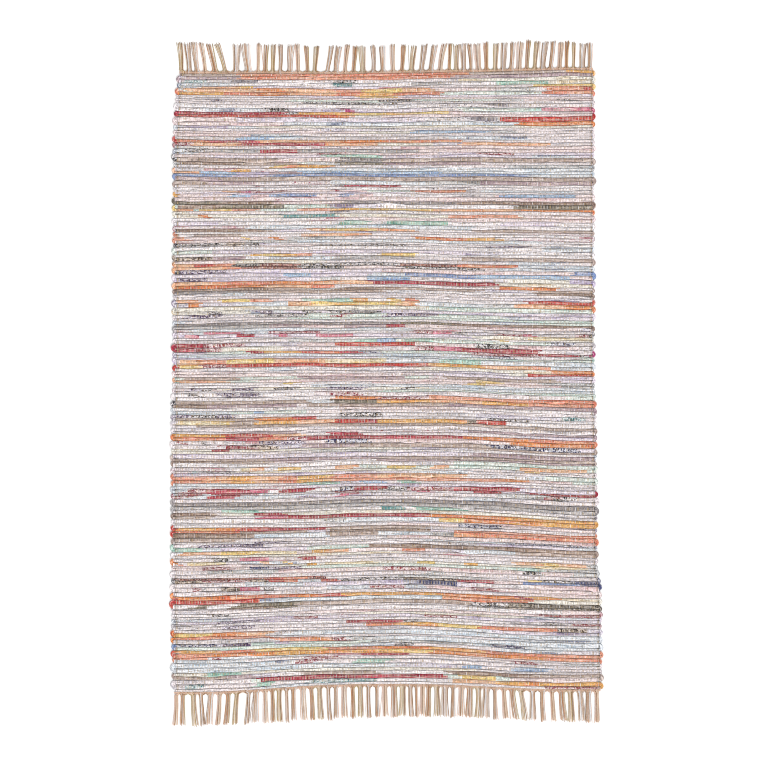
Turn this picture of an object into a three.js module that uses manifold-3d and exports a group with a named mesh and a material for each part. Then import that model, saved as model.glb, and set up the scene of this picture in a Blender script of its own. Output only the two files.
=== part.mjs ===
// Hand-woven rag rug, laid flat: folded cotton rags beaten between fine warp yarns, a narrow twined
// header at each end, and the warp ends gathered there into flat fringe locks.
//
// Millimetres, +Z up. The rug's length runs along Y, and +Y is the far end, where the weaving began.
// The floor is Z = 0, and the whole underside lies flat on it.
import * as THREE from 'three';
import Module from 'manifold-3d';

const wasm = await Module();
wasm.setup();

// ---- Driving sizes ---------------------------------------------------------------------------

const field = {
  picks: 192, // rags laid across the rug, one behind the other
  farY: 900, // the woven field's far edge, on the centre line
  length: 1773, // the field's length, on the centre line
  firstPitch: 0.951, // the first pick's pitch over the mean one: the beat loosens slowly
  apexX: 23, // where the bowed picks reach furthest back
  crest: 6.8, // height over a rag
  valley: 4.5, // height of the groove between two rags
  crestSway: 0.45, // how much thicker or thinner one rag is than the next
};

const selvedge = {
  inset: 10, // the turned rags come down from their full height over this width
  loft: 3.4, // their height at the very edge
  notch: 4, // how deep the edge goes in between two turned loops
  shoulder: 1.2, // how far a rag's own end lies behind the top of its loop
};

const header = {
  width: 8, // of the twined band, in the rug's length
  gap: 0.3, // parts the band from the woven field
  setBack: 7, // how far the band ends within the turned rags
  ridges: [3.4, 4.2, 3.5, 4.2, 3.5], // heights over the band, from the field outwards
};

const lock = {
  rootDepth: 5, // how far a lock reaches into the header band
  rootHeight: 2.9,
  neckHeight: 3.2,
  tipHeight: 2.2,
  topWidth: 0.72, // a lock's upper face over its lower one
  neck: 0.7, // the width where the yarns are gathered, over the lock's own width
  neckAt: 0.11, // where that is, as a share of the lock's length
  flare: 1.25, // the width at the header band, over the lock's own width
  lengthSway: 0.035,
  bend: 1.6, // how far a lock wanders from a straight line
};

const columns = [0, 0.16, 0.33, 0.5, 0.67, 0.84, 1]; // places across the rug, between the selvedges

// Sizes along the rug, by share of the field's length from the far end. left and right are the
// edges' distances from the centre line. leftDrop and rightDrop are how far a pick's ends hang
// behind its middle, towards the near end: the beat was harder in the middle as the weaving went on.
const along = [
  { at: 0.0, left: 611, right: 606, leftDrop: 0, rightDrop: -10 },
  { at: 0.05, left: 619, right: 605, leftDrop: 0, rightDrop: -3 },
  { at: 0.12, left: 625, right: 605, leftDrop: 0, rightDrop: 0 },
  { at: 0.48, left: 626, right: 605, leftDrop: 3, rightDrop: 6 },
  { at: 0.6, left: 630, right: 611, leftDrop: 8, rightDrop: 12 },
  { at: 0.8, left: 630, right: 614, leftDrop: 15, rightDrop: 20 },
  { at: 0.86, left: 630, right: 626, leftDrop: 17, rightDrop: 22 },
  { at: 1.0, left: 626, right: 628, leftDrop: 23, rightDrop: 29 },
];

// The fringe, run by run from left to right. from and to are the first and last lock's roots, lean
// and lastLean how far their tips lie to the right of them, and width is each lock's own.
const farRuns = [
  { locks: 3, from: -598, to: -552, lean: -5, lastLean: -10, width: 14 },
  { locks: 3, from: -529, to: -471, lean: -12, lastLean: -24, width: 12 },
  { locks: 2, from: -439, to: -403, lean: 2, lastLean: -10, width: 18 },
  { locks: 4, from: -375, to: -311, lean: 2, lastLean: 1, width: 10 },
  { locks: 2, from: -281, to: -258, lean: 4, lastLean: -3, width: 14 },
  { locks: 2, from: -231, to: -210, lean: -4, lastLean: 6, width: 10 },
  { locks: 4, from: -174, to: -97, lean: 12, lastLean: 6, width: 12 },
  { locks: 4, from: -69, to: 18, lean: -3, lastLean: -2, width: 13 },
  { locks: 5, from: 44, to: 155, lean: 5, lastLean: 13, width: 13 },
  { locks: 4, from: 181, to: 245, lean: 3, lastLean: -6, width: 11 },
  { locks: 2, from: 267, to: 290, lean: -5, lastLean: -2, width: 14 },
  { locks: 8, from: 315, to: 476, lean: 3, lastLean: 8, width: 12 },
  { locks: 3, from: 502, to: 543, lean: 5, lastLean: 1, width: 10 },
  { locks: 2, from: 568, to: 590, lean: 3, lastLean: 0, width: 12 },
];
const nearRuns = [
  { locks: 2, from: -613, to: -594, lean: -3, lastLean: -1, width: 12 },
  { locks: 2, from: -563, to: -542, lean: 6, lastLean: 6, width: 13 },
  { locks: 4, from: -513, to: -436, lean: -6, lastLean: -6, width: 12 },
  { locks: 2, from: -402, to: -380, lean: -7, lastLean: -3, width: 14 },
  { locks: 5, from: -354, to: -272, lean: 2, lastLean: 2, width: 11 },
  { locks: 4, from: -245, to: -171, lean: 4, lastLean: 5, width: 12 },
  { locks: 7, from: -148, to: -6, lean: 1, lastLean: 2, width: 12 },
  { locks: 2, from: 20, to: 45, lean: 2, lastLean: -1, width: 16 },
  { locks: 4, from: 68, to: 122, lean: 4, lastLean: -2, width: 11 },
  { locks: 7, from: 145, to: 290, lean: 0, lastLean: -3, width: 15 },
  { locks: 4, from: 315, to: 389, lean: 3, lastLean: 13, width: 13 },
  { locks: 4, from: 424, to: 508, lean: 1, lastLean: 8, width: 13 },
  { locks: 2, from: 534, to: 561, lean: 4, lastLean: 7, width: 14 },
  { locks: 2, from: 587, to: 610, lean: 1, lastLean: 2, width: 15 },
];

// How far the locks reach, by place across the rug from its centre line.
const reach = [
  { at: -610, far: 86, near: 91 },
  { at: -180, far: 77, near: 83 },
  { at: 180, far: 77, near: 82 },
  { at: 610, far: 81, near: 83 },
];

// ---- The rug's own lines ---------------------------------------------------------------------

// The value of a table's column between its rows, eased from each row to the next.
function sizeAt(table, at, column) {
  const next = table.findIndex((row) => row.at >= at);
  const after = table[next < 0 ? table.length - 1 : Math.max(next, 1)];
  const before = table[table.indexOf(after) - 1];
  const share = THREE.MathUtils.smoothstep(at, before.at, after.at);
  return THREE.MathUtils.lerp(before[column], after[column], share);
}

// The slow wander of a handwoven line, in millimetres.
const wander = (share, x) =>
  1.5 * Math.sin(x / 165 + 9 * share) + Math.sin(x / 70 - 14 * share);

// An even, repeatable unevenness between -1 and 1 for the n-th rag or lock.
const sway = (n, phase) =>
  0.6 * Math.sin(2.4 * n + phase) + 0.4 * Math.sin(5.1 * n + 1.7 * phase);

// Y of the weft's line at a share of the field's length, x from the centre line.
function weftLine(share, x) {
  const run = field.length * share * (field.firstPitch + (1 - field.firstPitch) * share);
  const side = x < field.apexX ? 'left' : 'right';
  const out = Math.abs(x - field.apexX) / sizeAt(along, share, side);
  return field.farY - run - sizeAt(along, share, side + 'Drop') * out ** 2 + wander(share, x);
}

// The places across the rug, at a share of its length, where it has its full height.
function fullHeightPlaces(share) {
  const low = selvedge.inset - sizeAt(along, share, 'left');
  const high = sizeAt(along, share, 'right') - selvedge.inset;
  return columns.map((place) => THREE.MathUtils.lerp(low, high, place));
}

// ---- Meshes ----------------------------------------------------------------------------------

// A closed body that lies on the floor under a net of points: rows of points run from the far end
// to the near one, and each row from left to right.
function layOnFloor(rows) {
  const across = rows[0].length;
  const last = rows.length - 1;
  const points = rows.flat();
  const faces = [];
  for (let row = 0; row < last; row += 1) {
    for (let column = 0; column < across - 1; column += 1) {
      const a = row * across + column;
      const b = a + across;
      faces.push([a, b, a + 1], [a + 1, b, b + 1]);
    }
  }
  // The rim, once round, counter-clockwise seen from above.
  const rim = [];
  for (let row = 0; row < last; row += 1) rim.push(row * across);
  for (let column = 0; column < across - 1; column += 1) rim.push(last * across + column);
  for (let row = last; row > 0; row -= 1) rim.push(row * across + across - 1);
  for (let column = across - 1; column > 0; column -= 1) rim.push(column);
  const floor = rim.map((index, place) => points.length + place);
  const under = rim.map((index) => new THREE.Vector3(points[index].x, points[index].y, 0));
  rim.forEach((index, place) => {
    const next = (place + 1) % rim.length;
    faces.push([index, floor[place], rim[next]], [rim[next], floor[place], floor[next]]);
  });
  const outline = under.map((point) => new THREE.Vector2(point.x, point.y));
  for (const [a, b, c] of THREE.ShapeUtils.triangulateShape(outline, [])) {
    faces.push([floor[a], floor[c], floor[b]]);
  }
  return new THREE.BufferGeometry().setFromPoints([...points, ...under]).setIndex(faces.flat());
}

// A bar through rings of four points each, listed counter-clockwise seen from its tip.
function barThrough(rings) {
  const sides = rings[0].length;
  const faces = [];
  for (let ring = 0; ring < rings.length - 1; ring += 1) {
    for (let side = 0; side < sides; side += 1) {
      const a = ring * sides + side;
      const b = ring * sides + ((side + 1) % sides);
      faces.push([a, b, a + sides], [b, b + sides, a + sides]);
    }
  }
  const tip = (rings.length - 1) * sides;
  faces.push([2, 1, 0], [3, 2, 0], [tip, tip + 1, tip + 2], [tip, tip + 2, tip + 3]);
  return new THREE.BufferGeometry().setFromPoints(rings.flat()).setIndex(faces.flat());
}

const solidOf = (geometry) =>
  new wasm.Manifold(
    new wasm.Mesh({
      numProp: 3,
      vertProperties: geometry.attributes.position.array,
      triVerts: new Uint32Array(geometry.index.array),
    }),
  );

function geometryOf(solid) {
  const { vertProperties, triVerts } = solid.getMesh();
  const geometry = new THREE.BufferGeometry();
  geometry.setAttribute('position', new THREE.BufferAttribute(vertProperties, 3));
  return geometry.setIndex(new THREE.BufferAttribute(triVerts, 1));
}

// ---- The woven field -------------------------------------------------------------------------

// Two lines a pick: one in the groove behind it and one over its crest. A rag turns round at each
// selvedge and comes back as the next pick, so every second groove is bridged by a turned loop, on
// the left and on the right by turns.
function fieldGeometry() {
  const rows = [];
  for (let line = 0; line <= 2 * field.picks; line += 1) {
    const share = line / (2 * field.picks);
    const isCrest = line % 2 === 1;
    const groove = line / 2;
    const turn = (side) => (groove % 2 === side ? 0 : selvedge.notch);
    const leftIn = isCrest ? selvedge.shoulder : turn(0);
    const rightIn = isCrest ? selvedge.shoulder : turn(1);
    const crest = field.crest + field.crestSway * sway(line, 0.4);
    const height = isCrest ? crest : field.valley;
    const left = leftIn - sizeAt(along, share, 'left');
    const right = sizeAt(along, share, 'right') - rightIn;
    const edge = Math.min(height, selvedge.loft);
    rows.push([
      new THREE.Vector3(left, weftLine(share, left), edge),
      ...fullHeightPlaces(share).map((x) => new THREE.Vector3(x, weftLine(share, x), height)),
      new THREE.Vector3(right, weftLine(share, right), edge),
    ]);
  }
  return layOnFloor(rows);
}

// ---- A fringe: header band and locks ---------------------------------------------------------

// outward is 1 at the far end and -1 at the near one.
function headerSolid(share, outward) {
  const left = header.setBack - sizeAt(along, share, 'left');
  const right = sizeAt(along, share, 'right') - header.setBack;
  const places = [left, ...fullHeightPlaces(share), right];
  const step = header.width / (header.ridges.length - 1);
  const rows = header.ridges.map((height, ridge) =>
    places.map((x) => {
      const out = header.gap + ridge * step;
      return new THREE.Vector3(x, weftLine(share, x) + outward * out, height);
    }),
  );
  return solidOf(layOnFloor(outward > 0 ? rows.reverse() : rows));
}

// One lock, of a flat four-sided section that lies on the floor all the way.
function lockSolid(share, outward, root, lean, width, number) {
  const rootY = weftLine(share, root) + outward * (header.gap + header.width);
  const usual = sizeAt(reach, root, outward > 0 ? 'far' : 'near');
  const length = usual * (1 + lock.lengthSway * sway(number, 2.1));
  const bend = lock.bend * sway(number, 0.7);
  const sections = [
    { along: -lock.rootDepth / length, wide: lock.flare, height: lock.rootHeight },
    { along: 0.01, wide: lock.flare, height: lock.rootHeight },
    { along: lock.neckAt, wide: lock.neck, height: lock.neckHeight },
    { along: 0.45, wide: 0.92, height: lock.neckHeight },
    { along: 1, wide: 1.06, height: lock.tipHeight },
  ];
  const rings = sections.map((section) => {
    const t = Math.max(section.along, 0);
    const x = root + lean * t ** 1.2 + bend * Math.sin(Math.PI * t);
    const y = rootY + outward * section.along * length;
    const low = (outward * width * section.wide) / 2;
    const top = low * lock.topWidth;
    return [
      new THREE.Vector3(x - low, y, 0),
      new THREE.Vector3(x - top, y, section.height),
      new THREE.Vector3(x + top, y, section.height),
      new THREE.Vector3(x + low, y, 0),
    ];
  });
  return solidOf(barThrough(rings));
}

function fringeGeometry(share, outward, runs) {
  let solid = headerSolid(share, outward);
  let number = 0;
  for (const run of runs) {
    for (let each = 0; each < run.locks; each += 1) {
      const t = each / (run.locks - 1);
      const root = THREE.MathUtils.lerp(run.from, run.to, t);
      const lean = THREE.MathUtils.lerp(run.lean, run.lastLean, t);
      solid = solid.add(lockSolid(share, outward, root, lean, run.width, number));
      number += 1;
    }
  }
  return geometryOf(solid);
}

// ---- The rug ---------------------------------------------------------------------------------

const ragCotton = new THREE.MeshStandardMaterial({ color: 0xd9cfcb, roughness: 0.95, metalness: 0 });
const warpYarn = new THREE.MeshStandardMaterial({ color: 0xc3a37b, roughness: 0.95, metalness: 0 });

function piece(name, geometry, material) {
  const mesh = new THREE.Mesh(geometry, material);
  mesh.name = name;
  return mesh;
}

const rug = new THREE.Group();
rug.add(piece('woven_field', fieldGeometry(), ragCotton));
rug.add(piece('far_fringe', fringeGeometry(0, 1, farRuns), warpYarn));
rug.add(piece('near_fringe', fringeGeometry(1, -1, nearRuns), warpYarn));

export default rug;
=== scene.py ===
import math

import bpy
import numpy as np
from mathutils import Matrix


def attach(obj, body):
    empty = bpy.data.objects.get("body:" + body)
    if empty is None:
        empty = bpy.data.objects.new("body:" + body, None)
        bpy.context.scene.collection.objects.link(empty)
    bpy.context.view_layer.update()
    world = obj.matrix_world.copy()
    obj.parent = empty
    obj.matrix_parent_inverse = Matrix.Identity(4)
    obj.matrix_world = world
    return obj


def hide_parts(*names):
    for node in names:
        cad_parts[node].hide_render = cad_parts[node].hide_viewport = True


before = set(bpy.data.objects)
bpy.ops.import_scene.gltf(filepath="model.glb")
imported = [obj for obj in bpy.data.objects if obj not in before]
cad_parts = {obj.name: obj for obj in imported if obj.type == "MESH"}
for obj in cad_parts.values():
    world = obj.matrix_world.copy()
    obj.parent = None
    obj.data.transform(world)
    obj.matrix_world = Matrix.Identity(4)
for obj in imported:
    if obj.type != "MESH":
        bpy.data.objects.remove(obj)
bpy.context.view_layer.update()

# The weft: torn strips of worn cotton sheets and shirts, folded lengthwise and beaten in side by
# side. One rag runs on from pick to pick, so each selvedge is a row of turns. Shapes are worked
# out in millimetres, and the meshes are written in metres.

MM = 0.001
CM = 10.0
rng = np.random.default_rng(41)

PICKS = 192
FIELD_FAR = 903.5  # the field's far edge, from the middle of the rug
FIELD_LENGTH = 1774.5
FIRST_PITCH = 0.951  # of the first pick, over the mean one
APEX = 23.0  # where the bowed picks reach furthest back

# Down the rug: its two edges' distances from the centre line, and how far a pick's ends hang
# nearer than its middle.
ALONG = np.array(
    [
        # share  left  right  left drop  right drop
        (0.00, 611, 606, 0, -10),
        (0.05, 619, 605, -4, -5),
        (0.12, 625, 605, -3, -3),
        (0.48, 626, 605, 7, 17),
        (0.60, 630, 611, 10, 20),
        (0.69, 630, 613, 11, 12),
        (0.715, 630, 613, 13, 26),
        (0.74, 630, 613, 6, 20),
        (0.80, 630, 614, 12, 18),
        (0.845, 630, 624, 6, 17),
        (0.87, 630, 626, 15, 17),
        (0.92, 629, 626, 8, 20),
        (0.945, 628, 627, 12, 28),
        (0.985, 627, 628, 17, 13),
        (1.00, 626, 628, 23, 17),
    ],
    dtype=float,
)
LEFT, RIGHT, LEFT_DROP, RIGHT_DROP = 1, 2, 3, 4

# Slow waves of a handwoven line: height, length over a full turn's angle, and drift down the rug.
WANDER = ((1.5, 165.0, 9.0), (1.0, 70.0, -14.0))
RIPPLES = 4
RIPPLE_HEIGHT = 0.7


def smooth(way):
    """A way from 0 to 1 that starts and ends gently."""
    return way * way * (3 - 2 * way)


def eased(table, column, share):
    """A column of a table at a share of the way down it, eased between rows."""
    share = np.asarray(share, dtype=float)
    row = np.clip(np.searchsorted(table[:, 0], share), 1, len(table) - 1)
    before, after = table[row - 1], table[row]
    way = smooth(np.clip((share - before[..., 0]) / (after[..., 0] - before[..., 0]), 0, 1))
    return before[..., column] + (after[..., column] - before[..., column]) * way


def weft_line(share, x):
    """How far along the rug the line between two picks lies."""
    run = FIELD_LENGTH * share * (FIRST_PITCH + (1 - FIRST_PITCH) * share)
    left_side = x < APEX
    reach = np.where(left_side, eased(ALONG, LEFT, share), eased(ALONG, RIGHT, share))
    drop = np.where(left_side, eased(ALONG, LEFT_DROP, share), eased(ALONG, RIGHT_DROP, share))
    wander = sum(high * np.sin(x / long + drift * share) for high, long, drift in WANDER)
    return FIELD_FAR - run - drop * smooth(np.abs(x - APEX) / reach) + wander


def ripple(rows, x, shortest, longest):
    """Smooth uneven waves about 1 high, different in each row."""
    lengths = rng.uniform(shortest, longest, (rows, 1, RIPPLES))
    starts = rng.uniform(0, 2 * math.pi, (rows, 1, RIPPLES))
    return RIPPLE_HEIGHT * np.sin(2 * math.pi * x[None, :, None] / lengths + starts).sum(2)


def pick_shares():
    """Where the lines between picks lie: thick and thin rags, an even beat over a hand's width."""
    thickness = 1 + THICK_AND_THIN * rng.standard_normal(PICKS)
    run = np.concatenate([np.zeros(1), np.cumsum(thickness / thickness.mean())])
    stray = run - np.arange(PICKS + 1)
    hand = np.convolve(np.pad(stray, EVEN_OVER, mode="edge"), np.ones(2 * EVEN_OVER + 1), "valid")
    stray -= hand / (2 * EVEN_OVER + 1)
    stray[[0, -1]] = 0
    return ((np.arange(PICKS + 1) + stray) / PICKS)[:, None]


THICK_AND_THIN = 0.27  # one rag's width against the next
EVEN_OVER = 9  # picks each way over which the beat is even
RULER = np.arange(-660.0, 661.0, 6.0)
RAG_HEIGHT = 6.1
HEIGHT_SWAY = 0.42
HEIGHT_WAVES = (25, 260)
LINE_SWAY = 0.7
SWAY_WAVES = (80, 500)
LINE_SHAKE = 0.22
SHAKE_WAVES = (18, 60)
pick_edges = weft_line(pick_shares(), RULER[None, :])
pick_edges[1:-1] += LINE_SWAY * ripple(PICKS - 1, RULER, *SWAY_WAVES)
pick_edges[1:-1] += LINE_SHAKE * ripple(PICKS - 1, RULER, *SHAKE_WAVES)
rag_heights = RAG_HEIGHT + HEIGHT_SWAY * ripple(PICKS, RULER, *HEIGHT_WAVES)

ENDS = 570  # warp yarns
LEFT_MARGIN = 16.0  # from the selvedge to the first of them
RIGHT_MARGIN = 11.0


def warp_x(end, share):
    """Where a warp yarn crosses, between the two outer ones."""
    first = LEFT_MARGIN - eased(ALONG, LEFT, share)
    last = eased(ALONG, RIGHT, share) - RIGHT_MARGIN
    return first + (last - first) * end / (ENDS - 1)


# Round a folded rag: across and height as shares, and how deep in shade it lies.
RAG_PROFILE = np.array(
    [
        (-0.50, 0.00, 0.8),
        (0.50, 0.00, 0.8),
        (0.98, 0.30, 1.0),
        (0.98, 0.62, 1.0),
        (0.76, 0.92, 0.12),
        (0.12, 1.00, 0.0),
        (0.00, 1.00, 1.0),
        (-0.12, 1.00, 0.0),
        (-0.76, 0.92, 0.12),
        (-0.99, 0.48, 1.0),
    ]
)
# How the fold changes along the rag: its crease, its shoulders and its shaded feet.
CREASE = 6
CREASE_LIPS = slice(5, 8)
CREASE_SWAY = 0.42
CREASE_DEPTH = 0.07
CREASE_DEEPEST = 0.22
CREASE_SHADE = 6.0
CREASE_DARKEST = 0.9
SHOULDERS = ((slice(3, 5), 1), (slice(8, 10), -1))
SHOULDER_SWAY = 0.05
FOOT_SIDES = (slice(2, 4), slice(9, 10))
FOOT_SHADE = 0.85
FOOT_SHADE_SWAY = 0.4
FOOT_SHADE_RANGE = (0.2, 1.25)
SIDES = len(RAG_PROFILE)
TOP_SIDE = 4
FOLD_SIDES = (3, 7, 8)
EDGE_SHOW = 0.75
# How a pick lies: over its neighbours, drawn in by the outer yarns, and turned at the selvedge.
RAG_OVERLAP = 1.04
BOUND_WIDTH = 0.92
BOUND_HEIGHT = 0.84
BOUND_REACH = 3.0
RUN_STATIONS = 94
FIRST_STATION = 7.0
STATION_SWAY = 2.0
TURN_STATIONS = 5
TURN_SQUEEZE = 0.93
TURN_SWAY = 1.1
TURN_HEIGHT = 0.97
TURN_ENDS = 2.0
ENDS_A_PICK = 600  # the warp count goes up by this from pick to pick
END_OFFSET = 12


def pick_run(pick):
    """One pick from left to right: stations of place, half width, height and warp count."""
    share = (pick + 0.5) / PICKS
    turn = 0.5 * FIELD_LENGTH / PICKS * (1 + TURN_SQUEEZE)
    start = turn - eased(ALONG, LEFT, share) + rng.uniform(-TURN_SWAY, TURN_SWAY)
    stop = eased(ALONG, RIGHT, share) - turn + rng.uniform(-TURN_SWAY, TURN_SWAY)
    first, last = warp_x(0, share), warp_x(ENDS - 1, share)
    left, right = [start, first - BOUND_REACH, first], [last, last + BOUND_REACH, stop]
    count = RUN_STATIONS - len(left) - len(right)
    inside = np.linspace(first + FIRST_STATION, last - FIRST_STATION, count)
    inside[1:-1] += rng.uniform(-STATION_SWAY, STATION_SWAY, count - 2)
    x = np.sort(np.concatenate([left, inside, right]))
    far = np.interp(x, RULER, pick_edges[pick])
    near = np.interp(x, RULER, pick_edges[pick + 1])
    crossed = (x - first) / (last - first) * (ENDS - 1)
    bound = np.minimum(np.abs(x - first), np.abs(x - last)) < 1
    half = (far - near) / 2 * np.where(bound, BOUND_WIDTH, RAG_OVERLAP)
    high = np.interp(x, RULER, rag_heights[pick]) * np.where(bound, BOUND_HEIGHT, 1)
    return np.column_stack([x, (far + near) / 2, half, high, crossed])


def turn_run(last, first):
    """The rag's turn at a selvedge, from one pick's last station to the next one's first."""
    outward = 1 if last[0] > 0 else -1
    radius = (last[1] - first[1]) / 2
    centre = np.array([(last[0] + first[0]) / 2, (last[1] + first[1]) / 2])
    angle = np.linspace(math.pi / 2, -math.pi / 2, TURN_STATIONS + 2)[1:-1]
    x = centre[0] + outward * radius * np.cos(angle)
    y = centre[1] + radius * np.sin(angle)
    half = np.full(TURN_STATIONS, radius * TURN_SQUEEZE)
    height = np.full(TURN_STATIONS, (last[3] + first[3]) / 2 * TURN_HEIGHT)
    step = np.arange(1, TURN_STATIONS + 1) * outward * TURN_ENDS
    return np.column_stack([x, y, half, height, last[4] + step])


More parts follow.
